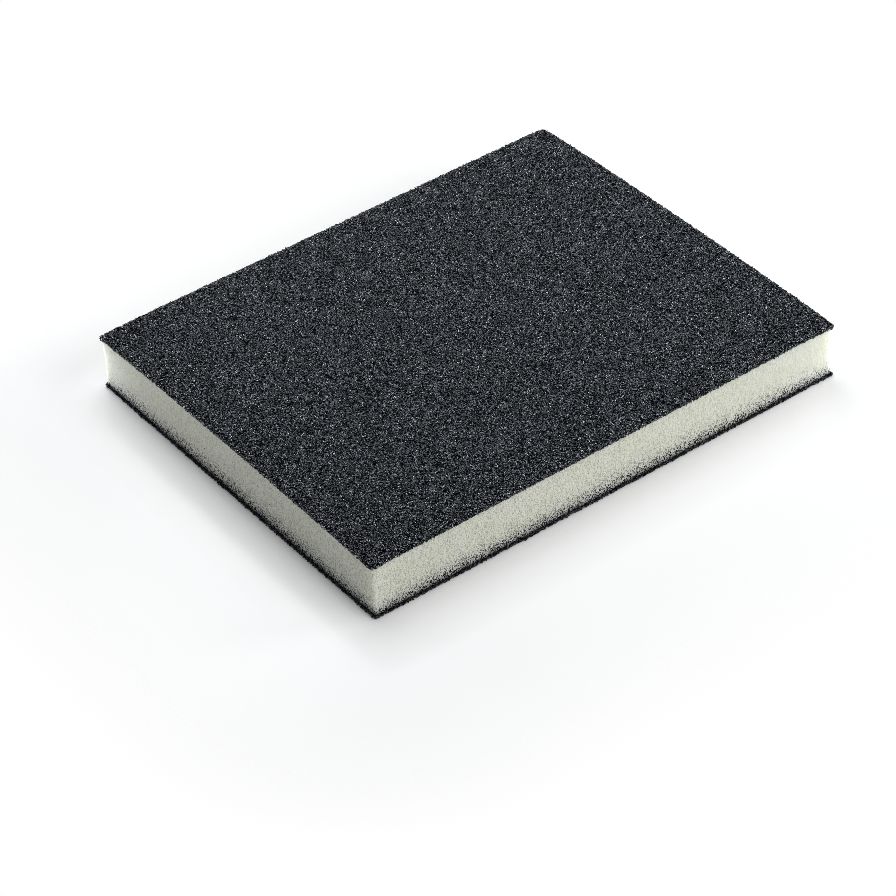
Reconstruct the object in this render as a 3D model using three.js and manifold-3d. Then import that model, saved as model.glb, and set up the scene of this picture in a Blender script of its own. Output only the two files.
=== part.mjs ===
// Double-sided sanding block: a slab of cut open-cell foam with an abrasive coat bonded to each broad face.
// Each coat is three layers, from the foam outwards: the make coat, the grit and the size coat.
//
// Frame, in millimetres: +X along the long side, +Y along the short side, +Z up. The origin is the centre of
// the lower abrasive face, which the block rests on.
import * as THREE from "three";
import { mergeVertices } from "three/addons/utils/BufferGeometryUtils.js";
import Module from "manifold-3d";

// Driving dimensions. Thicknesses are whole eighths of a millimetre, so that stacked faces meet exactly.
const BLOCK_LENGTH = 120;
const BLOCK_WIDTH = 98;
const FOAM_THICKNESS = 12.25;
const MAKE_COAT_THICKNESS = 0.25; // resin that bonds the grit to the foam
const GRIT_THICKNESS = 0.375; // one layer of abrasive grains
const SIZE_COAT_THICKNESS = 0.125; // resin that locks the grains from outside
const CORNER_RADIUS = 0.75;
const FOAM_INSET = 0.25; // how far the cut foam springs back behind the coats' edges
const WAIST_DEPTH = 0.3; // how much further the foam's sides draw in at mid height

const CORNER_SEGMENTS = 6;
const WAIST_SEGMENTS = 24;
const CUTTER_OVERRUN = 2; // how far a cutter reaches past the surfaces that it cuts through

const COAT_THICKNESS = MAKE_COAT_THICKNESS + GRIT_THICKNESS + SIZE_COAT_THICKNESS;
const FOAM_BOTTOM = COAT_THICKNESS;
const FOAM_TOP = FOAM_BOTTOM + FOAM_THICKNESS;

const wasm = await Module();
wasm.setup();

const foamMaterial = () => new THREE.MeshStandardMaterial({ color: 0xdcdcc6, roughness: 0.95, metalness: 0 });
const resinMaterial = () => new THREE.MeshStandardMaterial({ color: 0x14161a, roughness: 0.55, metalness: 0 });
const gritMaterial = () => new THREE.MeshStandardMaterial({ color: 0x2b2e33, roughness: 0.35, metalness: 0.1 });

function roundedRectangle(length, width, radius) {
  const x = length / 2 - radius;
  const y = width / 2 - radius;
  const outline = new THREE.Shape();
  outline.absarc(x, y, radius, 0, Math.PI / 2, false);
  outline.absarc(-x, y, radius, Math.PI / 2, Math.PI, false);
  outline.absarc(-x, -y, radius, Math.PI, 1.5 * Math.PI, false);
  outline.absarc(x, -y, radius, 1.5 * Math.PI, 2 * Math.PI, false);
  outline.closePath();
  return outline;
}

function plate(length, width, radius, thickness) {
  return new THREE.ExtrudeGeometry(roundedRectangle(length, width, radius), {
    depth: thickness,
    bevelEnabled: false,
    curveSegments: CORNER_SEGMENTS,
  });
}

function solidFrom(geometry) {
  const bare = geometry.clone();
  bare.deleteAttribute("normal");
  bare.deleteAttribute("uv");
  const merged = mergeVertices(bare);
  return new wasm.Manifold(
    new wasm.Mesh({
      numProp: 3,
      vertProperties: merged.attributes.position.array,
      triVerts: new Uint32Array(merged.index.array),
    }),
  );
}

function geometryFrom(solid) {
  const mesh = solid.getMesh();
  return new THREE.BufferGeometry()
    .setAttribute("position", new THREE.BufferAttribute(mesh.vertProperties, 3))
    .setIndex(new THREE.BufferAttribute(mesh.triVerts, 1));
}

// The bar that draws one side of the foam in. Its section is a circular segment whose bulge reaches
// WAIST_DEPTH past the side face, and it runs along +Z here, centred on the origin.
function waistCutter(sideLength) {
  const halfHeight = FOAM_THICKNESS / 2;
  const bulgeRadius = (halfHeight ** 2 + WAIST_DEPTH ** 2) / (2 * WAIST_DEPTH);
  const halfAngle = Math.asin(halfHeight / bulgeRadius);
  const barLength = sideLength + 2 * CUTTER_OVERRUN;
  const section = new THREE.Shape();
  section.moveTo(CUTTER_OVERRUN, -halfHeight);
  section.lineTo(CUTTER_OVERRUN, halfHeight);
  section.absarc(bulgeRadius - WAIST_DEPTH, 0, bulgeRadius, Math.PI - halfAngle, Math.PI + halfAngle, false);
  section.closePath();
  return new THREE.ExtrudeGeometry(section, {
    depth: barLength,
    bevelEnabled: false,
    curveSegments: WAIST_SEGMENTS,
  }).translate(0, 0, -barLength / 2);
}

// The foam slab, whose four sides are slightly hollow because the cut foam relaxes between its two coats.
function foamSlab() {
  const length = BLOCK_LENGTH - 2 * FOAM_INSET;
  const width = BLOCK_WIDTH - 2 * FOAM_INSET;
  let slab = solidFrom(plate(length, width, CORNER_RADIUS, FOAM_THICKNESS));
  for (let side = 0; side < 4; side += 1) {
    const facesX = side % 2 === 0;
    const reach = (facesX ? length : width) / 2;
    const cutter = waistCutter(facesX ? width : length)
      .rotateX(Math.PI / 2)
      .translate(reach, 0, FOAM_THICKNESS / 2)
      .rotateZ((side * Math.PI) / 2);
    slab = slab.subtract(solidFrom(cutter));
  }
  return geometryFrom(slab);
}

function addMesh(group, name, geometry, material, height) {
  const mesh = new THREE.Mesh(geometry, material);
  mesh.name = name;
  mesh.position.z = height;
  group.add(mesh);
}

// Stacks one face's three layers outwards from the foam. outward is 1 for the upper face and -1 for the lower.
function addCoat(group, face, foamFaceHeight, outward) {
  const layers = [
    { name: "make_coat", thickness: MAKE_COAT_THICKNESS, material: resinMaterial() },
    { name: "grit_layer", thickness: GRIT_THICKNESS, material: gritMaterial() },
    { name: "size_coat", thickness: SIZE_COAT_THICKNESS, material: resinMaterial() },
  ];
  let innerHeight = foamFaceHeight;
  for (const { name, thickness, material } of layers) {
    const outerHeight = innerHeight + outward * thickness;
    const geometry = plate(BLOCK_LENGTH, BLOCK_WIDTH, CORNER_RADIUS, thickness);
    addMesh(group, `${face}_${name}`, geometry, material, Math.min(innerHeight, outerHeight));
    innerHeight = outerHeight;
  }
}

const sandingBlock = new THREE.Group();
addCoat(sandingBlock, "lower", FOAM_BOTTOM, -1);
addMesh(sandingBlock, "foam_core", foamSlab(), foamMaterial(), FOAM_BOTTOM);
addCoat(sandingBlock, "upper", FOAM_TOP, 1);

export default sandingBlock;
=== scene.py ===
"""Sanding block: ragged grit coats on a slab of open-cell foam, on a white studio floor.

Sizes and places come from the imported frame, and every length is in metres.
"""

import math

import bpy
import numpy as np
from mathutils import Matrix, Vector

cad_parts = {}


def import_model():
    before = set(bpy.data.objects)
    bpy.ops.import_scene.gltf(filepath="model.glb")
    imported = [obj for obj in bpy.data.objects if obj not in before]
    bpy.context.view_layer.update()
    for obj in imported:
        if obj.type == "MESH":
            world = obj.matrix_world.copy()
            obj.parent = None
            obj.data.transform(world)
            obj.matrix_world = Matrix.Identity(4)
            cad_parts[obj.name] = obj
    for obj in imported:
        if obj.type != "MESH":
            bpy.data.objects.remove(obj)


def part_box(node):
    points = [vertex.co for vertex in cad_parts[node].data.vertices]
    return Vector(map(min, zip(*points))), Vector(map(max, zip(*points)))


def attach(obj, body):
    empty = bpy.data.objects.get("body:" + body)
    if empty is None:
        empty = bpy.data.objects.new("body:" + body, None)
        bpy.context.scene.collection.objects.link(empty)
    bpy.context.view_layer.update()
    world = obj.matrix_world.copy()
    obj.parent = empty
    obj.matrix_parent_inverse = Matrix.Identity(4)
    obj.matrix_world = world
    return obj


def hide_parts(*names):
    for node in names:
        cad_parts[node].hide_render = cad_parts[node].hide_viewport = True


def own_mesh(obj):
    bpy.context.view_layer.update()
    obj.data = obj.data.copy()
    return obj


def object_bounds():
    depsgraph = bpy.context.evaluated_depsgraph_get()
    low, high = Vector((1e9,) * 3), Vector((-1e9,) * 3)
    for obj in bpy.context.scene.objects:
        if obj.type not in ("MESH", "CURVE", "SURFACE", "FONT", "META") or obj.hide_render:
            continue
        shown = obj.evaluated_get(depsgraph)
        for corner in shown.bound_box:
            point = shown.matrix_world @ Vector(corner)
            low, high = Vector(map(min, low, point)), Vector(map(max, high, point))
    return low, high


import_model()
CAD_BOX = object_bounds()

MM = 0.001

# Driving dimensions, from the frame.
HALF_LENGTH = CAD_BOX[1].x
HALF_WIDTH = CAD_BOX[1].y
FOAM_LOW, FOAM_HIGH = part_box("foam_core")
FOAM_HEIGHT = FOAM_HIGH.z - FOAM_LOW.z
FOAM_INSET = HALF_LENGTH - FOAM_HIGH.x
COAT_THICKNESS = CAD_BOX[1].z - FOAM_HIGH.z
MAKE_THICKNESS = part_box("upper_make_coat")[1].z - FOAM_HIGH.z

# As in the CAD, where the frame doesn't state them.
CORNER_RADIUS = 0.75 * MM
WAIST_DEPTH = 0.3 * MM  # how far the foam's sides draw in at mid height

# Each coat.
SHEET_PITCH = 0.364 * MM  # of the size coat's facets
SHEET_ROUGHNESS = 0.13 * MM  # how far the facets' corners stray up and down
GRAIN_COUNT = 19000
RIM_GRAIN_COUNT = 5400
GRAIN_RADIUS = 0.17 * MM
GRAIN_CEILING = 0.1 * MM  # how far the upper coat's grains may stand above its face
RIM_REACH = 0.5 * MM  # how far in from its rim a coat is thinner
RAGGED_REACH = 0.8 * MM  # how far in from its rim a coat is ragged
RAGGED_WAVES = (3 * MM, 0.6 * MM)  # the longest and shortest waves of a ragged rim
PATCH_WAVES = (9 * MM, 2 * MM)  # and those of slower changes from patch to patch

# The upper coat, which isn't flat.
ARCH = 0.6 * MM  # how far it rises midway across the width
EDGE_DROOP = 0.1 * MM
EDGE_REACH = 1.2 * MM
CORNER_DROOP = 0.3 * MM
DROOP_REACH = 4 * MM

# The foam's sides.
SIDE_COLUMNS = 1800
SIDE_ROWS = 52
PORES = ((0.85 * MM, 0.08 * MM), (0.5 * MM, 0.1 * MM))  # size and depth
PORE_EDGE = 0.6  # how far from its middle a pore ends, as a share of its size
END_CONTRAST = 0.25  # how much of the texture is left at the -X +Y and +X -Y corners
FULL_CORNER = 0.8  # how much of the sides' hollow is missing at the corners
FULL_REACH = 3 * MM  # and how far along the sides that holds
SPECK_COUNT = 9000
SPECK_FADE = 1.1 * MM  # height over which the black specks thin out to a third
STAIN_FADE = 2.8 * MM  # and over which the foam's blackened cells do
CORNER_CLEAN = 0.6  # how much lower the specks and blackened cells reach at the corners
CORNER_REACH = 6 * MM  # and how far along the sides that holds

# The maps that the surfaces are laid out on.
FACE_SHARE = 0.96  # of a map's side, that a coat takes up
SIDE_STRIPS = 6  # the rows that the foam's sides are laid out in
STRIP_LENGTH = 0.98  # of a row, that the foam takes up
STRIP_WIDTH = 0.84


class Coat:
    """One face's abrasive coat. Heights in a coat are measured outwards from the foam."""

    def __init__(
        self, side, body, foam_face, outward, arched, ragged, rim_sink, rim_pallor, soak, seed
    ):
        self.side = side
        self.body = body
        self.foam_face = foam_face
        self.outward = outward  # 1 where the coat faces up and -1 where it faces down
        self.arched = arched
        self.ragged = ragged  # how far the rim typically strays from straight
        self.rim_sink = rim_sink  # how much thinner the coat is at its rim
        self.rim_pallor = rim_pallor  # how pale the rim's grains are, against the face's
        self.soak = soak  # how far the resin has typically crept into the foam
        self.seed = seed

    def place(self, x, y, height):
        """The points at heights in the coat."""
        z = self.foam_face + self.outward * height
        if self.arched:
            z = z + lift(x, y)
        return np.column_stack(np.broadcast_arrays(x, y, z))

    def wind(self, faces):
        """Turns the faces over for the lower coat, whose heights run downwards."""
        return faces if self.outward > 0 else faces[:, ::-1]


UPPER = Coat(
    "upper",
    "press_face",
    FOAM_HIGH.z,
    1,
    arched=True,
    ragged=0.11 * MM,
    rim_sink=0.3 * MM,
    rim_pallor=1.0,
    soak=0.03 * MM,
    seed=11,
)
LOWER = Coat(
    "lower",
    "base",
    FOAM_LOW.z,
    -1,
    arched=False,
    ragged=0.12 * MM,
    rim_sink=0.12 * MM,
    rim_pallor=0.55,
    soak=0.07 * MM,
    seed=23,
)


# Shapes

# What every crystal starts from.
OCTAHEDRON = np.array([(1, 0, 0), (0, 1, 0), (-1, 0, 0), (0, -1, 0), (0, 0, 1), (0, 0, -1)], float)
OCTAHEDRON_FACES = np.array(
    [(0, 1, 4), (1, 2, 4), (2, 3, 4), (3, 0, 4), (1, 0, 5), (2, 1, 5), (3, 2, 5), (0, 3, 5)]
)


def rim_distance(x, y):
    """How far inside the coat's outline a point lies, corners counted as square."""
    return np.minimum(HALF_LENGTH - np.abs(x), HALF_WIDTH - np.abs(y))


def near_corner(x, y, reach):
    """1 at the block's corners, fading out along its sides over a reach."""
    gap = (HALF_LENGTH - np.abs(x)) + (HALF_WIDTH - np.abs(y))
    return np.exp(-np.maximum(gap, 0) / reach)


def lift(x, y):
    """How far the upper coat stands above flat: arched across, and sunk at its edges and corners."""
    at_edge = EDGE_DROOP * np.exp(-np.maximum(rim_distance(x, y), 0) / EDGE_REACH)
    at_corner = CORNER_DROOP * near_corner(x, y, DROOP_REACH)
    return ARCH * (1 - np.minimum(np.abs(y) / HALF_WIDTH, 1) ** 2) - at_edge - at_corner


def waist(height):
    """How far the foam's side is drawn in at a share of its height."""
    return WAIST_DEPTH * 4 * height * (1 - height)


def hollowness(spot):
    """How hollow the foam's sides are at points on its outline: fully, except near the corners."""
    return 1 - FULL_CORNER * near_corner(spot[:, 0], spot[:, 1], FULL_REACH)


def stain_share(spot):
    """How high the black specks reach at points on the outline, as a share of their height midway."""
    return 1 - CORNER_CLEAN * near_corner(spot[:, 0], spot[:, 1], CORNER_REACH)


def texture_share(spot):
    """How much of the foam's texture is left at points on the outline: less towards two corners."""
    to_ends = np.clip(-spot[:, 0] * spot[:, 1] / (HALF_LENGTH * HALF_WIDTH), 0, 1)
    return 1 - (1 - END_CONTRAST) * to_ends


def wave_field(random, coarsest, finest, count=24):
    """A smooth random field over the plane, about 1 in size, made of waves between two lengths."""
    lengths = random.uniform(finest, coarsest, count)
    headings = random.uniform(0, 2 * math.pi, count)
    phases = random.uniform(0, 2 * math.pi, count)
    turns_x = 2 * math.pi * np.cos(headings) / lengths
    turns_y = 2 * math.pi * np.sin(headings) / lengths

    def field(x, y):
        waves = np.cos(np.multiply.outer(x, turns_x) + np.multiply.outer(y, turns_y) + phases)
        return waves.sum(-1) / math.sqrt(count / 2)

    return field


def rounded_outline(half_x, half_y, radius, count):
    """Evenly spaced points round a rounded rectangle: positions, outward normals and arc lengths."""
    steps = 13
    turn = np.linspace(0, math.pi / 2, steps)
    angles = np.concatenate([turn + quarter * math.pi / 2 for quarter in range(4)])
    signs = np.repeat([(1, 1), (-1, 1), (-1, -1), (1, -1)], steps, axis=0)
    normals = np.column_stack([np.cos(angles), np.sin(angles)])
    points = signs * (half_x - radius, half_y - radius) + radius * normals
    points = np.vstack([points, points[:1]])
    normals = np.vstack([normals, normals[:1]])
    along = np.concatenate([[0], np.cumsum(np.linalg.norm(np.diff(points, axis=0), axis=1))])
    at = np.arange(count) * along[-1] / count
    even = np.column_stack([np.interp(at, along, points[:, axis]) for axis in (0, 1)])
    facing = np.column_stack([np.interp(at, along, normals[:, axis]) for axis in (0, 1)])
    facing /= np.linalg.norm(facing, axis=1, keepdims=True)
    return even, facing, at, along[-1]


def ring_quads(rows, columns):
    """Quads between rows of points that each close on themselves."""
    row, column = np.meshgrid(np.arange(rows - 1), np.arange(columns), indexing="ij")
    after = (column + 1) % columns
    low, high = row * columns, (row + 1) * columns
    return np.stack([low + column, low + after, high + after, high + column], -1).reshape(-1, 4)


def new_mesh(name, points, groups):
    """A mesh from points and groups of faces, each group with the UVs of its faces' corners."""
    mesh = bpy.data.meshes.new(name)
    mesh.from_pydata(points.tolist(), [], [face for faces, _ in groups for face in faces.tolist()])
    layer = mesh.uv_layers.new(name="OFBake")
    corners = np.concatenate([uv.reshape(-1, 2) for _, uv in groups])
    layer.uv.foreach_set("vector", corners.astype(np.float32).ravel())
    return mesh


def add_shade(mesh, shades):
    """Stores how light or dark each crystal is, for its material."""
    attribute = mesh.attributes.new("shade", "FLOAT", "POINT")
    values = np.repeat(shades, len(OCTAHEDRON))
    attribute.data.foreach_set("value", values.astype(np.float32))


def face_uv(points):
    """Lays a coat flat over the map, with its ragged rim kept inside the map."""
    u = 0.5 + 0.5 * FACE_SHARE * points[:, 0] / HALF_LENGTH
    v = 0.5 + 0.5 * FACE_SHARE * points[:, 1] / HALF_WIDTH
    return np.clip(np.column_stack([u, v]), 0.005, 0.995)


def hidden_uv(points):
    """A spot in the map's corner, for faces that nothing can see."""
    return 0.001 + 0.002 * face_uv(points)


def side_uv(turn, rise):
    """Lays the sides over the map in strips, from the share of the way round and of the height."""
    strip = np.floor(turn * SIDE_STRIPS)
    u = (1 - STRIP_LENGTH) / 2 + STRIP_LENGTH * (turn * SIDE_STRIPS - strip)
    v = (strip + (1 - STRIP_WIDTH) / 2 + STRIP_WIDTH * rise) / SIDE_STRIPS
    return np.stack([u, v], -1)


def add_piece(name, mesh, body, material, stands_for=None, smooth=False):
    """Makes a mesh into a piece that rides a body and, where a CAD node is given, stands for it."""
    mesh.materials.append(material)
    mesh.polygons.foreach_set("use_smooth", np.full(len(mesh.polygons), smooth))
    piece = bpy.data.objects.new(name, mesh)
    bpy.context.scene.collection.objects.link(piece)
    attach(piece, body)
    if stands_for:
        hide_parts(stands_for)
    return piece


def press_with_foam(piece):
    """Gives the piece a mesh of its own, not shared with any other."""
    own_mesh(piece)


def round_corners(x, y):
    """Bends a rectangular grid's corner cells into quarter circles."""
    over_x = np.clip((np.abs(x) - HALF_LENGTH + CORNER_RADIUS) / CORNER_RADIUS, 0, 1)
    over_y = np.clip((np.abs(y) - HALF_WIDTH + CORNER_RADIUS) / CORNER_RADIUS, 0, 1)
    reach = np.maximum(over_x, over_y)
    angle = np.arctan2(over_y, over_x)
    corner = (over_x > 0) & (over_y > 0)
    new_x = np.sign(x) * (HALF_LENGTH - CORNER_RADIUS * (1 - reach * np.cos(angle)))
    new_y = np.sign(y) * (HALF_WIDTH - CORNER_RADIUS * (1 - reach * np.sin(angle)))
    return np.where(corner, new_x, x), np.where(corner, new_y, y)


def outward_direction(x, y):
    """The way out of the coat nearest to each point."""
    over_x = np.maximum(np.abs(x) - HALF_LENGTH + CORNER_RADIUS, 0)
    over_y = np.maximum(np.abs(y) - HALF_WIDTH + CORNER_RADIUS, 0)
    inside = (over_x + over_y) == 0
    along_x = (HALF_LENGTH - np.abs(x)) < (HALF_WIDTH - np.abs(y))
    over_x = np.where(inside, along_x, over_x)
    over_y = np.where(inside, ~along_x, over_y)
    direction = np.column_stack([np.sign(x) * over_x, np.sign(y) * over_y])
    return direction / np.linalg.norm(direction, axis=1, keepdims=True)


def grid_border(columns, rows):
    """The border points of a grid of rows x columns points, anticlockwise."""
    index = np.arange(rows * columns).reshape(rows, columns)
    return np.concatenate([index[0, :-1], index[:-1, -1], index[-1, :0:-1], index[:0:-1, 0]])


def grid_triangles(random, columns, rows):
    """Two triangles for each cell of a grid, cut along either diagonal at random."""
    index = np.arange(rows * columns).reshape(rows, columns)
    corners = [index[:-1, :-1], index[:-1, 1:], index[1:, 1:], index[1:, :-1]]
    cells = np.stack([corner.ravel() for corner in corners], -1)
    flip = random.random(len(cells)) < 0.5
    first = np.where(flip[:, None], cells[:, [0, 1, 2]], cells[:, [1, 2, 3]])
    second = np.where(flip[:, None], cells[:, [0, 2, 3]], cells[:, [1, 3, 0]])
    return np.vstack([first, second])


def size_coat_sheet(coat):
    """The resin skin over the grit: a sheet of jagged facets with a ragged rim, closed underneath."""
    random = np.random.default_rng(coat.seed)
    columns = round(2 * HALF_LENGTH / SHEET_PITCH) + 1
    rows = round(2 * HALF_WIDTH / SHEET_PITCH) + 1
    x, y = np.meshgrid(
        np.linspace(-HALF_LENGTH, HALF_LENGTH, columns), np.linspace(-HALF_WIDTH, HALF_WIDTH, rows)
    )
    x, y = round_corners(x.ravel(), y.ravel())
    depth = np.maximum(rim_distance(x, y), 0)
    border = grid_border(columns, rows)
    depth[border] = 0
    out = outward_direction(x, y)
    ragged = coat.ragged * wave_field(random, *RAGGED_WAVES)(x, y) * np.exp(-depth / RAGGED_REACH)
    jitter = random.uniform(-0.32, 0.32, (len(x), 2)) * SHEET_PITCH
    x = x + out[:, 0] * ragged + jitter[:, 0]
    y = y + out[:, 1] * ragged + jitter[:, 1]
    level = COAT_THICKNESS - SHEET_ROUGHNESS - coat.rim_sink * np.exp(-depth / RIM_REACH)
    height = level + random.uniform(-1, 1, len(x)) * SHEET_ROUGHNESS
    swell = 0.03 * MM
    height += swell * wave_field(random, *PATCH_WAVES)(x, y)
    height = np.minimum(height, COAT_THICKNESS)

    foot = random.uniform(-0.08, 0.08, len(border)) * MM
    foot_x = x[border] + out[border, 0] * foot
    foot_y = y[border] + out[border, 1] * foot
    points = np.vstack([coat.place(x, y, height), coat.place(foot_x, foot_y, MAKE_THICKNESS)])

    feet = len(x) + np.arange(len(border))
    top = coat.wind(grid_triangles(random, columns, rows))
    wall = coat.wind(np.stack([border, feet, np.roll(feet, -1), np.roll(border, -1)], -1))
    base = coat.wind(feet[None, ::-1])
    shown, hidden = face_uv(points), hidden_uv(points)
    groups = [(top, shown[top]), (wall, shown[wall]), (base, hidden[base])]
    return new_mesh(f"{coat.side}_size_sheet", points, groups)


def crystals(random, count, radius):
    """The six corners of each of many irregular octahedra round the origin, turned at random."""
    stretch = random.uniform(0.65, 1.3, (count, 1, 3))
    corners = OCTAHEDRON * stretch * random.uniform(0.7, 1.25, (count, 6, 1)) * radius[:, None, None]
    corners += random.normal(0, 0.16, (count, 6, 3)) * radius[:, None, None]
    turn = random.normal(size=(count, 4))
    w, i, j, k = (turn / np.linalg.norm(turn, axis=1, keepdims=True)).T
    spin = np.array(
        [
            [1 - 2 * (j * j + k * k), 2 * (i * j - k * w), 2 * (i * k + j * w)],
            [2 * (i * j + k * w), 1 - 2 * (i * i + k * k), 2 * (j * k - i * w)],
            [2 * (i * k - j * w), 2 * (j * k + i * w), 1 - 2 * (i * i + j * j)],
        ]
    )
    return np.einsum("abn,ncb->nca", spin, corners)


def crystal_faces(count):
    """The eight triangles of each crystal."""
    return (np.arange(count)[:, None, None] * len(OCTAHEDRON) + OCTAHEDRON_FACES).reshape(-1, 3)


def face_grain_places(random, coat, count):
    """Centres for the grains on a coat's face: a loosened grid that reaches the rim."""
    spacing = math.sqrt(4 * HALF_LENGTH * HALF_WIDTH / count)
    stray = 0.55  # how far a grain may lie from its place on the grid, over the spacing
    margin = 0.05 * MM
    bedding = 0.2 * MM
    columns = round(2 * HALF_LENGTH / spacing)
    rows = round(2 * HALF_WIDTH / spacing)
    x, y = np.meshgrid(
        (np.arange(columns) + 0.5) / columns * 2 * HALF_LENGTH - HALF_LENGTH,
        (np.arange(rows) + 0.5) / rows * 2 * HALF_WIDTH - HALF_WIDTH,
    )
    x = x.ravel() + random.uniform(-stray, stray, x.size) * spacing
    y = y.ravel() + random.uniform(-stray, stray, y.size) * spacing
    x = np.clip(x, margin - HALF_LENGTH, HALF_LENGTH - margin)
    y = np.clip(y, margin - HALF_WIDTH, HALF_WIDTH - margin)
    over_x = np.maximum(np.abs(x) - HALF_LENGTH + CORNER_RADIUS, 0)
    over_y = np.maximum(np.abs(y) - HALF_WIDTH + CORNER_RADIUS, 0)
    kept = np.hypot(over_x, over_y) < CORNER_RADIUS
    x, y = x[kept], y[kept]
    sink = coat.rim_sink * np.exp(-np.maximum(rim_distance(x, y), 0) / RIM_REACH)
    height = COAT_THICKNESS - bedding + random.uniform(-0.08, 0.08, len(x)) * MM - sink
    return np.column_stack([x, y, height])


def rim_grain_places(random, coat, count):
    """Centres for the grains that stick out of a coat's cut rim, at any height in it."""
    outline, facing, _, _ = rounded_outline(HALF_LENGTH, HALF_WIDTH, CORNER_RADIUS, 4 * count)
    pick = random.integers(0, len(outline), count)
    inset = random.uniform(-0.12, 0.16, count) * MM
    lowest = 0.08 * MM
    highest = COAT_THICKNESS - 0.05 * MM - coat.rim_sink
    height = random.uniform(lowest, highest, count)
    return np.column_stack([outline[pick] - facing[pick] * inset[:, None], height])


def grit(coat):
    """The layer of separate grains, each bedded about halfway into the resin."""
    random = np.random.default_rng(coat.seed + 1)
    on_face = face_grain_places(random, coat, GRAIN_COUNT)
    in_rim = rim_grain_places(random, coat, RIM_GRAIN_COUNT)
    centres = np.vstack([on_face, in_rim])
    count = len(centres)
    corners = crystals(random, count, GRAIN_RADIUS * random.uniform(0.65, 1.3, count))
    corners = (corners + centres[:, None, :]).reshape(-1, 3)
    ceiling = COAT_THICKNESS + (GRAIN_CEILING if coat.arched else 0)
    points = coat.place(corners[:, 0], corners[:, 1], np.minimum(corners[:, 2], ceiling))
    faces = coat.wind(crystal_faces(count))
    mesh = new_mesh(f"{coat.side}_grains", points, [(faces, face_uv(points)[faces])])
    shade = random.random(count)
    shade[-RIM_GRAIN_COUNT:] *= coat.rim_pallor
    add_shade(mesh, shade)
    return mesh


def make_coat_band(coat):
    """The resin bonded to the foam's face: a thin slab with a ragged rim that creeps into the foam."""
    random = np.random.default_rng(coat.seed + 2)
    columns = np.arange(SIDE_COLUMNS)
    outline, facing, _, _ = rounded_outline(HALF_LENGTH, HALF_WIDTH, CORNER_RADIUS, SIDE_COLUMNS)
    ragged = coat.ragged * wave_field(random, *RAGGED_WAVES)(outline[:, 0], outline[:, 1])
    creep = coat.soak * random.exponential(1, SIDE_COLUMNS)
    creep *= 1 + 0.5 * wave_field(random, *PATCH_WAVES)(outline[:, 0], outline[:, 1])
    creep *= stain_share(outline)
    creep = np.clip(creep, 0.02 * MM, 4 * coat.soak)

    def ring(reach, height):
        """One row of points, at a reach out from the outline and a height in the coat."""
        spot = outline + facing * np.broadcast_to(reach, SIDE_COLUMNS)[:, None]
        return coat.place(spot[:, 0], spot[:, 1], height)

    rings = [ring(-FOAM_INSET - 0.6 * MM, -0.05 * MM), ring(-FOAM_INSET + 0.02 * MM, -creep)]
    setback = 0.12 * MM
    for height in (0.04 * MM, 0.14 * MM, MAKE_THICKNESS):
        rough = random.uniform(-0.11, 0.11, SIDE_COLUMNS) * MM
        rings.append(ring(ragged + rough - setback, height))
    points = np.vstack(rings)
    wall = coat.wind(ring_quads(len(rings), SIDE_COLUMNS))
    inner = coat.wind(columns[None, ::-1])
    outer = coat.wind((len(rings) - 1) * SIDE_COLUMNS + columns[None, :])
    shown, hidden = face_uv(points), hidden_uv(points)
    groups = [(wall, shown[wall]), (inner, hidden[inner]), (outer, hidden[outer])]
    return new_mesh(f"{coat.side}_make_band", points, groups)


def cell_distance(along, up, perimeter, size, random):
    """How far points on the foam's side lie from the nearest of many scattered ones, over size."""
    columns = round(perimeter / size)
    rows = math.ceil(FOAM_HEIGHT / size) + 4
    shift = random.uniform(0.1, 0.9, (rows, columns, 2))
    spot_u = along / perimeter * columns
    spot_v = up / size + 1
    cell_u = np.floor(spot_u).astype(int)
    cell_v = np.floor(spot_v).astype(int)
    nearest = np.full(len(along), np.inf)
    for step_u in (-1, 0, 1):
        for step_v in (-1, 0, 1):
            near_u = cell_u + step_u
            near_v = np.clip(cell_v + step_v, 0, rows - 1)
            offset = shift[near_v, near_u % columns]
            gap = np.hypot(near_u + offset[:, 0] - spot_u, near_v + offset[:, 1] - spot_v)
            nearest = np.minimum(nearest, gap)
    return nearest


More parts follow.
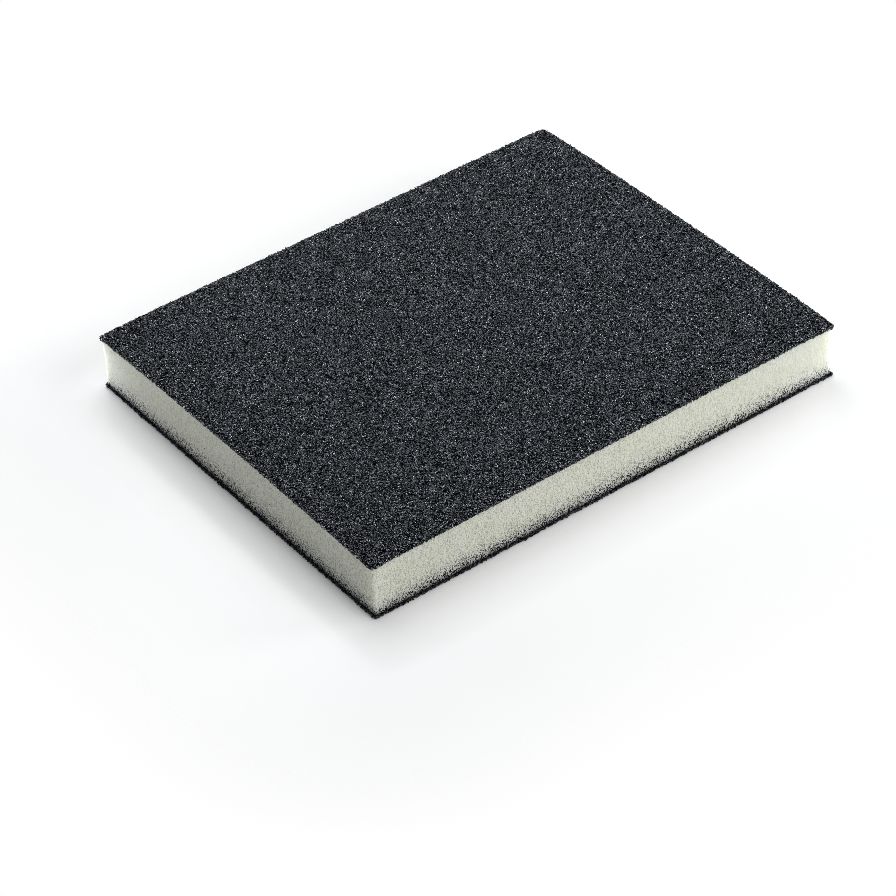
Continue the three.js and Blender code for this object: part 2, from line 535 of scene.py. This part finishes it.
def foam_slab():
    """The foam: hollow sides pitted with cut cells, between two plain faces that the coats cover."""
    random = np.random.default_rng(5)
    outline, facing, along, perimeter = rounded_outline(
        FOAM_HIGH.x, FOAM_HIGH.y, CORNER_RADIUS, SIDE_COLUMNS
    )
    rows = SIDE_ROWS + 1
    share = np.repeat(np.linspace(0, 1, rows), SIDE_COLUMNS)
    column = np.tile(np.arange(SIDE_COLUMNS), rows)
    inside = (share > 0) & (share < 1)
    pitch = perimeter / SIDE_COLUMNS
    stray = 0.3  # how far a point may lie from its place on the grid, over the pitch
    slide = random.uniform(-stray, stray, len(share)) * pitch * inside
    rise = random.uniform(-stray, stray, len(share)) * pitch * inside
    tangent = np.column_stack([-facing[:, 1], facing[:, 0]])
    up = share * FOAM_HEIGHT + rise
    pits = np.zeros(len(share))
    for size, deep in PORES:
        gap = cell_distance((along[column] + slide) % perimeter, up, perimeter, size, random)
        pits += deep * (1 - np.minimum(gap / PORE_EDGE, 1) ** 2)
    pits *= inside * texture_share(outline)[column]
    hollow = (waist(share) + pits) * hollowness(outline)[column]
    inset = hollow + random.uniform(-0.02, 0.02, len(share)) * MM
    spot = outline[column] - facing[column] * inset[:, None] + tangent[column] * slide[:, None]
    arched = lift(spot[:, 0], spot[:, 1]) * share**2
    tucked = 0.25 * np.maximum(arched, 0) * (share == 1)  # into the upper coat, to leave no gap
    points = np.column_stack([spot, FOAM_LOW.z + up + arched + tucked])

    wall = ring_quads(rows, SIDE_COLUMNS)
    left = np.tile(np.arange(SIDE_COLUMNS), SIDE_ROWS) / SIDE_COLUMNS
    low = np.repeat(np.arange(SIDE_ROWS), SIDE_COLUMNS) / SIDE_ROWS
    step_u = STRIP_LENGTH * SIDE_STRIPS / SIDE_COLUMNS
    step_v = STRIP_WIDTH / SIDE_STRIPS / SIDE_ROWS
    quad = np.array([(0, 0), (step_u, 0), (step_u, step_v), (0, step_v)])
    wall_uv = side_uv(left, low)[:, None, :] + quad
    bottom = np.arange(SIDE_COLUMNS)[None, ::-1]
    top = (rows - 1) * SIDE_COLUMNS + np.arange(SIDE_COLUMNS)[None, :]
    hidden = hidden_uv(points)
    groups = [(wall, wall_uv), (bottom, hidden[bottom]), (top, hidden[top])]
    return new_mesh("foam_slab", points, groups)


def specks():
    """Loose grains and crumbs of resin on the foam's sides, thinning out above the lower coat."""
    random = np.random.default_rng(7)
    places = 4 * SIDE_COLUMNS
    outline, facing, _, _ = rounded_outline(FOAM_HIGH.x, FOAM_HIGH.y, CORNER_RADIUS, places)
    column = random.integers(0, places, SPECK_COUNT)
    up = random.exponential(SPECK_FADE, SPECK_COUNT) * stain_share(outline)[column]
    up = np.minimum(up, 0.85 * FOAM_HEIGHT)
    radius = random.uniform(0.04, 0.1, SPECK_COUNT) * MM
    bedding = 0.05 * MM
    inset = waist(up / FOAM_HEIGHT) * hollowness(outline)[column] + bedding
    middle = np.column_stack([outline[column] - facing[column] * inset[:, None], FOAM_LOW.z + up])
    points = (crystals(random, SPECK_COUNT, radius) + middle[:, None, :]).reshape(-1, 3)
    faces = crystal_faces(SPECK_COUNT)
    uv = np.repeat(side_uv(column / places, up / FOAM_HEIGHT), len(OCTAHEDRON), axis=0)
    spread = 0.002 * np.tile(OCTAHEDRON[:, :2] + OCTAHEDRON[:, 2:], (SPECK_COUNT, 1))
    uv = np.clip(uv + spread, 0, 1)
    mesh = new_mesh("lower_edge_specks", points, [(faces, uv[faces])])
    add_shade(mesh, random.random(SPECK_COUNT))
    return mesh


# Materials

# A mix node's sockets by number, since several have the same name: the share, a and b, and the result.
MIX_NUMBERS = (0, 2, 3)
MIXED_NUMBER = 0
MIX_COLOURS = (0, 6, 7)
MIXED_COLOUR = 2


class Nodes:
    """A short way to wire a material's nodes."""

    def __init__(self, name):
        self.material = bpy.data.materials.new(name)
        self.material.use_nodes = True
        self.tree = self.material.node_tree
        self.shader = self.tree.nodes["Principled BSDF"]
        self.place = self.add("ShaderNodeTexCoord").outputs["Object"]

    def add(self, kind, **values):
        """A new node, with its own settings."""
        node = self.tree.nodes.new(kind)
        for key, value in values.items():
            setattr(node, key, value)
        return node

    def link(self, source, target):
        self.tree.links.new(source, target)

    def drive(self, **sources):
        """Links sources to the shader's inputs by name."""
        for key, source in sources.items():
            self.link(source, self.shader.inputs[key.replace("_", " ")])

    def set(self, **values):
        """Gives the shader's inputs plain values by name."""
        for key, value in values.items():
            self.shader.inputs[key.replace("_", " ")].default_value = value

    def stretched(self, stretch):
        """The place, with patterns drawn out along Z by a stretch below 1."""
        return self.vector("MULTIPLY", self.place, (1, 1, stretch))

    def noise(self, size, detail=2, stretch=1.0):
        """Cloudy noise, with features of a given size."""
        node = self.add("ShaderNodeTexNoise")
        node.inputs["Scale"].default_value = 1 / size
        node.inputs["Detail"].default_value = detail
        self.link(self.stretched(stretch), node.inputs["Vector"])
        return node.outputs["Fac"]

    def cells(self, size, stretch=1.0):
        """Scattered cells: the distance to each one's middle, and a colour of its own."""
        node = self.add("ShaderNodeTexVoronoi")
        node.inputs["Scale"].default_value = 1 / size
        self.link(self.stretched(stretch), node.inputs["Vector"])
        return node.outputs["Distance"], node.outputs["Color"]

    def three_numbers(self, colour):
        """A colour's channels, as three numbers from 0 to 1."""
        node = self.add("ShaderNodeSeparateColor")
        self.link(colour, node.inputs[0])
        return node.outputs

    def reshuffled(self, number, factor):
        """Another number from 0 to 1, unrelated to the first."""
        return self.math("FRACT", self.math("MULTIPLY", number, factor))

    def attribute(self, name):
        """A number stored on the mesh."""
        return self.add("ShaderNodeAttribute", attribute_name=name).outputs["Fac"]

    def ramp(self, source, *stops):
        """A colour picked by a number, from pairs of a position and a colour."""
        node = self.add("ShaderNodeValToRGB")
        while len(node.color_ramp.elements) < len(stops):
            node.color_ramp.elements.new(0.5)
        for element, (position, colour) in zip(node.color_ramp.elements, stops):
            element.position = position
            element.color = (*colour, 1)
        self.link(source, node.inputs["Fac"])
        return node.outputs["Color"]

    def scale(self, source, from_low, from_high, to_low, to_high):
        """A number taken from one range to another, and kept inside it."""
        node = self.add("ShaderNodeMapRange")
        limits = {"From Min": from_low, "From Max": from_high, "To Min": to_low, "To Max": to_high}
        for key, value in limits.items():
            node.inputs[key].default_value = value
        self.link(source, node.inputs["Value"])
        return node.outputs["Result"]

    def fill(self, value, socket):
        """Gives a socket a number, a vector, a colour or another node's output."""
        if isinstance(value, tuple):
            socket.default_value = value if len(value) == len(socket.default_value) else (*value, 1)
        elif isinstance(value, (int, float)):
            socket.default_value = value
        else:
            self.link(value, socket)

    def math(self, operation, a, b=None):
        node = self.add("ShaderNodeMath", operation=operation)
        self.fill(a, node.inputs[0])
        if b is not None:
            self.fill(b, node.inputs[1])
        return node.outputs["Value"]

    def vector(self, operation, a, b=None):
        node = self.add("ShaderNodeVectorMath", operation=operation)
        self.fill(a, node.inputs[0])
        if b is not None:
            self.fill(b, node.inputs[1])
        return node.outputs["Value" if operation == "LENGTH" else "Vector"]

    def mix(self, share, a, b):
        """The colour a, with a share of b."""
        node = self.add("ShaderNodeMix", data_type="RGBA")
        for value, socket in zip((share, a, b), MIX_COLOURS):
            self.fill(value, node.inputs[socket])
        return node.outputs[MIXED_COLOUR]

    def bump(self, height, distance):
        """Roughens the shader's surface by a height from 0 to 1, which stands for a distance."""
        node = self.add("ShaderNodeBump")
        node.inputs["Distance"].default_value = distance
        self.link(height, node.inputs["Height"])
        self.drive(Normal=node.outputs["Normal"])

    def parts(self, vector):
        """A vector's X, Y and Z."""
        node = self.add("ShaderNodeSeparateXYZ")
        self.link(vector, node.inputs[0])
        return node.outputs

    def tilt(self, colour, amount):
        """Turns the surface's normal away at random, each cell by its own colour."""
        lean = self.vector("SUBTRACT", colour, (0.5, 0.5, 0.5))
        lean = self.vector("MULTIPLY", lean, (2 * amount, 2 * amount, 2 * amount))
        normal = self.add("ShaderNodeNewGeometry").outputs["Normal"]
        self.drive(Normal=self.vector("NORMALIZE", self.vector("ADD", normal, lean)))


# How dark the grains and crumbs of grit are: a third nearly black, most slate, a few pale; those
# nearest white are painted glints.
GRIT_TONES_AND_PAINTED_GLINTS = (
    (0.0, (0.0002, 0.0003, 0.0005)),
    (0.34, (0.0012, 0.0017, 0.0026)),
    (0.45, (0.036, 0.041, 0.048)),
    (0.75, (0.107, 0.118, 0.133)),
    (0.95, (0.268, 0.288, 0.315)),
    (1.0, (0.82, 0.855, 0.9)),
)


def grit_material():
    """Silicon carbide: crystals from black to pale slate, each more or less glassy; the few near white
    are painted glints.
    """
    nodes = Nodes("grit")
    shade = nodes.attribute("shade")
    nodes.drive(Base_Color=nodes.ramp(shade, *GRIT_TONES_AND_PAINTED_GLINTS))
    nodes.drive(Roughness=nodes.scale(nodes.reshuffled(shade, 17.0), 0, 1, 0.12, 0.4))
    nodes.drive(Specular_IOR_Level=nodes.scale(nodes.reshuffled(shade, 41.0), 0, 1, 0.1, 0.8))
    nodes.set(IOR=1.9)
    return nodes.material


def size_resin_material():
    """The thin resin over the fine grit: each crumb under it has its own tone, tilt and glaze, the
    palest tones painted glints. The gaps between crumbs are painted shade, nearly black and dull, and
    the coat's cut rim is nearly black."""
    nodes = Nodes("size_resin")
    from_middle, colour = nodes.cells(0.22 * MM)
    # Painted shade: towards the edge of each crumb's cell the colour turns nearly black and the gloss
    # goes.
    gap = nodes.scale(from_middle, 0.5, 0.6, 0, 1)
    tone, glaze, lustre = nodes.three_numbers(colour)
    crumb = nodes.ramp(nodes.reshuffled(tone, 7.0), *GRIT_TONES_AND_PAINTED_GLINTS)
    face = nodes.mix(gap, crumb, (0.0005, 0.0008, 0.0013))
    facing = nodes.parts(nodes.add("ShaderNodeNewGeometry").outputs["True Normal"])["Z"]
    rim = nodes.scale(nodes.math("ABSOLUTE", facing), 0.2, 0.5, 0.8, 0)
    nodes.drive(Base_Color=nodes.mix(rim, face, (0.002, 0.002, 0.0025)))
    patchy = nodes.math("MULTIPLY", nodes.noise(6 * MM, detail=3), 0.2)
    dullness = nodes.scale(nodes.reshuffled(glaze, 11.0), 0, 1, 0.08, 0.35)
    nodes.drive(Roughness=nodes.math("ADD", dullness, patchy))
    level = nodes.math("POWER", nodes.reshuffled(lustre, 13.0), 2.0)
    strength = nodes.math("SUBTRACT", 0.8, nodes.math("MULTIPLY", gap, 0.8))
    nodes.drive(Specular_IOR_Level=nodes.math("MULTIPLY", level, strength))
    nodes.set(IOR=1.75)
    nodes.tilt(colour, 0.35)
    return nodes.material


def make_resin_material():
    """The resin that bonds the coat: dull black, with paler crumbs and brown spots."""
    nodes = Nodes("make_resin")
    spots = nodes.noise(0.5 * MM)
    _, crumbs = nodes.cells(0.24 * MM)
    tone, _, _ = nodes.three_numbers(crumbs)
    black = nodes.ramp(
        tone,
        (0.45, (0.002, 0.002, 0.0025)),
        (0.8, (0.03, 0.03, 0.032)),
        (1.0, (0.17, 0.165, 0.15)),
    )
    brown = nodes.scale(spots, 0.62, 0.8, 0, 1)
    nodes.drive(Base_Color=nodes.mix(brown, black, (0.05, 0.034, 0.02)))
    nodes.drive(Roughness=nodes.scale(spots, 0.3, 0.7, 0.5, 0.8))
    nodes.set(Specular_IOR_Level=0.12)
    nodes.bump(nodes.noise(0.25 * MM), 0.05 * MM)
    return nodes.material


def foam_material():
    """Cream open-cell foam, with painted shade in the middle of its cut cells, which are often
    blackened just above the lower coat. The blackening and the texture fade where the specks and the
    pits do."""
    nodes = Nodes("foam")
    place = nodes.parts(nodes.place)
    above_coat = nodes.math("SUBTRACT", place["Z"], FOAM_LOW.z)
    out_x = nodes.math("ABSOLUTE", place["X"])
    out_y = nodes.math("ABSOLUTE", place["Y"])
    gap = nodes.math("SUBTRACT", HALF_LENGTH + HALF_WIDTH, nodes.math("ADD", out_x, out_y))
    corner = nodes.math("EXPONENT", nodes.math("DIVIDE", gap, -CORNER_REACH))
    fade = nodes.scale(corner, 0, 1, -STAIN_FADE, -STAIN_FADE * (1 - CORNER_CLEAN))
    cover = nodes.math("EXPONENT", nodes.math("DIVIDE", above_coat, fade))

    cell, _ = nodes.cells(0.36 * MM)
    streaks = nodes.noise(0.35 * MM, stretch=0.28)
    clouds = nodes.noise(7 * MM, detail=3)
    cream = nodes.ramp(clouds, (0.3, (0.70, 0.71, 0.58)), (0.7, (0.73, 0.73, 0.64)))
    # Painted shade: each cut cell darkens towards its middle. The streaks are the foam's own.
    light = nodes.math(
        "ADD", nodes.scale(cell, 0.1, 0.6, 0.4, 0.95), nodes.scale(streaks, 0.3, 0.7, -0.12, 0.3)
    )
    usual_light = 0.84
    # The painted cell shade and the streaks weaken towards the -X +Y and +X -Y corners, the ends that
    # the glow lamps light, as if washed out by the light there.
    to_ends = nodes.math("MULTIPLY", place["X"], place["Y"])
    texture = nodes.scale(to_ends, -HALF_LENGTH * HALF_WIDTH, 0, END_CONTRAST, 1)
    light = nodes.math("MULTIPLY", nodes.math("SUBTRACT", light, usual_light), texture)
    light = nodes.math("ADD", light, usual_light)
    clean = nodes.mix(light, (0.1, 0.103, 0.083), cream)

    _, crumbs = nodes.cells(0.16 * MM, stretch=0.6)
    chance, pallor, tone = nodes.three_numbers(crumbs)
    odds = nodes.math("MULTIPLY", cover, 0.6)
    stained = nodes.scale(nodes.math("SUBTRACT", odds, chance), -0.02, 0.02, 0, 1)
    stained = nodes.math("MULTIPLY", stained, nodes.scale(cover, 0, 0.6, 0, 1))
    # Near-white flecks among the blackened cells.
    bright = nodes.math("MULTIPLY", nodes.scale(pallor, 0.7, 0.75, 0, 0.7), cover)
    pale_flecked = nodes.mix(bright, clean, (0.86, 0.86, 0.82))
    black = nodes.ramp(tone, (0.5, (0.004, 0.004, 0.005)), (1.0, (0.05, 0.047, 0.045)))
    nodes.drive(Base_Color=nodes.mix(stained, pale_flecked, black))
    nodes.drive(Subsurface_Weight=nodes.scale(stained, 0, 1, 0.9, 0))
    nodes.set(Roughness=0.95, Subsurface_Scale=MM, Specular_IOR_Level=0.1)
    nodes.shader.inputs["Subsurface Radius"].default_value = (6.0, 5.8, 4.8)
    relief = nodes.math("ADD", cell, nodes.math("MULTIPLY", streaks, 0.6))
    nodes.bump(nodes.math("MULTIPLY", relief, texture), 0.13 * MM)
    return nodes.material


# Studio


def floor():
    """A wide white floor with a faint gloss, which fades into the background away from the block. Near
    the block the camera sees about a fifth of the white background over it, a painted lightening of the
    block's shadow.
    """
    half = 3.0
    fade_reach = 60 * MM
    mesh = bpy.data.meshes.new("floor")
    corners = [(-half, -half, 0), (half, -half, 0), (half, half, 0), (-half, half, 0)]
    mesh.from_pydata(corners, [], [(0, 1, 2, 3)])
    nodes = Nodes("floor")
    nodes.set(Base_Color=(0.93, 0.93, 0.935, 1), Roughness=0.25)
    seen = nodes.add("ShaderNodeLightPath").outputs["Is Camera Ray"]
    out = nodes.vector("ABSOLUTE", nodes.place)
    beyond = nodes.vector("SUBTRACT", out, (HALF_LENGTH, HALF_WIDTH, 0))
    gap = nodes.vector("LENGTH", nodes.vector("MAXIMUM", beyond, (0, 0, 0)))
    # Painted light: for the camera, about a fifth of the white background shows over the floor from 3
    # to 16 mm out, lightening the block's shadow, before the floor turns fully white by 60 mm.
    share = nodes.ramp(
        nodes.scale(gap, 0, fade_reach, 0, 1),
        (0.0, (0.04, 0.04, 0.04)),
        (0.05, (0.19, 0.19, 0.19)),
        (0.27, (0.22, 0.22, 0.22)),
        (1.0, (1.0, 1.0, 1.0)),
    )
    blend = nodes.add("ShaderNodeMixShader")
    nodes.link(nodes.math("MULTIPLY", share, seen), blend.inputs[0])
    nodes.link(nodes.shader.outputs[0], blend.inputs[1])
    nodes.link(nodes.add("ShaderNodeBsdfTransparent").outputs[0], blend.inputs[2])
    nodes.link(blend.outputs[0], nodes.tree.nodes["Material Output"].inputs["Surface"])
    mesh.materials.append(nodes.material)
    piece = bpy.data.objects.new("floor", mesh)
    bpy.context.scene.collection.objects.link(piece)


def soft_box(
    name, place, size, radiance, in_reflections=False, aim=(0, 0, 0), spread=180, colour=(1, 1, 1)
):
    """A square lamp that faces its aim. The size is its side, and the spread is in degrees."""
    lamp = bpy.data.lights.new(name, "AREA")
    lamp.size = size
    lamp.spread = math.radians(spread)
    lamp.energy = radiance * math.pi * size**2
    lamp.color = colour
    holder = bpy.data.objects.new(name, lamp)
    holder.location = place
    holder.rotation_euler = (Vector(aim) - Vector(place)).to_track_quat("-Z", "Y").to_euler()
    holder.visible_camera = False
    holder.visible_glossy = in_reflections
    bpy.context.scene.collection.objects.link(holder)


def from_angles(azimuth, elevation, distance):
    """A place round the block: azimuth 0 is on the -Y side and 90 on the +X side, in degrees."""
    turn, tilt = math.radians(azimuth), math.radians(elevation)
    return (
        distance * math.sin(turn) * math.cos(tilt),
        -distance * math.cos(turn) * math.cos(tilt),
        distance * math.sin(tilt),
    )


def lights():
    """One lamp shows in reflections and makes the grit sparkle. The others shape the foam and the
    floor, and the two glows, beside the -X +Y and +X -Y corners, brighten the ends of the foam."""
    soft_box("overhead", from_angles(160, 65, 0.35), 0.25, 3.6)
    soft_box("front_right", from_angles(20, 35, 0.8), 0.5, 3.15)
    soft_box("right", from_angles(58, 22, 0.34), 0.12, 9.1)
    soft_box("left", from_angles(-100, 25, 0.5), 0.2, 0.2)
    soft_box("left_end", from_angles(-150, 18, 0.22), 0.05, 8.4)
    middle = CAD_BOX[1].z / 2
    away = 9 * MM
    bluish = (0.82, 0.86, 1)
    for name, side_x, side_y, radiance in (("left_glow", -1, 1, 1.8), ("right_glow", 1, -1, 0.98)):
        corner = (side_x * HALF_LENGTH, side_y * HALF_WIDTH, middle)
        place = (corner[0] + side_x * away, corner[1] + side_y * away, middle)
        soft_box(name, place, 8 * MM, radiance, aim=corner, spread=70, colour=bluish)
    soft_box("sparkle", from_angles(160, 45, 0.5), 0.08, 5.9, in_reflections=True)


def world():
    """White to the camera. Dim and a little blue to the light that bounces about, and nearly dark in
    reflections, so that the lamps shape the block."""
    made = bpy.data.worlds.new("studio")
    made.use_nodes = True
    tree = made.node_tree
    path = tree.nodes.new("ShaderNodeLightPath")
    background = tree.nodes["Background"]

    reflected = tree.nodes.new("ShaderNodeMix")
    share, usual, picked = (reflected.inputs[index] for index in MIX_NUMBERS)
    tree.links.new(path.outputs["Is Glossy Ray"], share)
    usual.default_value = 0.28
    picked.default_value = 0.03

    strength = tree.nodes.new("ShaderNodeMix")
    share, usual, picked = (strength.inputs[index] for index in MIX_NUMBERS)
    tree.links.new(path.outputs["Is Camera Ray"], share)
    tree.links.new(reflected.outputs[MIXED_NUMBER], usual)
    picked.default_value = 1.0
    tree.links.new(strength.outputs[MIXED_NUMBER], background.inputs["Strength"])

    colour = tree.nodes.new("ShaderNodeMix")
    colour.data_type = "RGBA"
    share, usual, picked = (colour.inputs[index] for index in MIX_COLOURS)
    tree.links.new(path.outputs["Is Camera Ray"], share)
    usual.default_value = (0.93, 0.965, 1, 1)
    picked.default_value = (1, 1, 1, 1)
    tree.links.new(colour.outputs[MIXED_COLOUR], background.inputs["Color"])
    bpy.context.scene.world = made


CAMERA_AZIMUTH = -35.0  # in degrees, like the next two
CAMERA_ELEVATION = 38.94
CAMERA_ROLL = -3.41
CAMERA_DISTANCE = 736.6 * MM
CAMERA_SHIFT = (-4.67 * MM, -3.68 * MM)  # to the right and up, as the camera sees it
LENS = 137.6  # millimetres, on a 36 mm sensor


def camera():
    """A long lens that looks down on the block's near corner."""
    back = Vector(from_angles(CAMERA_AZIMUTH, CAMERA_ELEVATION, 1))
    turn = math.radians(CAMERA_AZIMUTH)
    roll = math.radians(CAMERA_ROLL)
    level = Vector((math.cos(turn), math.sin(turn), 0))
    upright = back.cross(level)
    right = math.cos(roll) * level + math.sin(roll) * upright
    up = -math.sin(roll) * level + math.cos(roll) * upright
    place = back * CAMERA_DISTANCE + right * CAMERA_SHIFT[0] + up * CAMERA_SHIFT[1]
    place.z -= CAD_BOX[1].z
    eye = bpy.data.cameras.new("camera")
    eye.lens = LENS
    holder = bpy.data.objects.new("camera", eye)
    holder.matrix_world = Matrix.Translation(place) @ Matrix((right, up, back)).transposed().to_4x4()
    scene = bpy.context.scene
    scene.collection.objects.link(holder)
    scene.camera = holder
    scene.view_settings.view_transform = "Standard"
    # Both keep the grit crisp. The width is in pixels.
    scene.cycles.filter_width = 0.7
    scene.cycles.denoising_prefilter = "NONE"


def add_coat(coat, layers):
    """Adds one face's pieces. Each layer is a name, a shape, a slot, a material and a CAD layer."""
    for name, shape, slot, look, cad_layer in layers:
        piece_name = f"{coat.side}_{name}"
        add_piece(piece_name, shape(coat), coat.body, look, f"{coat.side}_{cad_layer}")


grit_look = grit_material()
LAYERS = (
    ("size_sheet", size_coat_sheet, "size_resin", size_resin_material(), "size_coat"),
    ("grains", grit, "abrasive_grit", grit_look, "grit_layer"),
    ("make_band", make_coat_band, "make_resin", make_resin_material(), "make_coat"),
)
for coat in (LOWER, UPPER):
    add_coat(coat, LAYERS)
foam = add_piece("foam_slab", foam_slab(), "base", foam_material(), "foam_core", smooth=True)
press_with_foam(foam)
press_with_foam(add_piece("lower_edge_specks", specks(), "base", grit_look))

floor()
lights()
world()
camera()
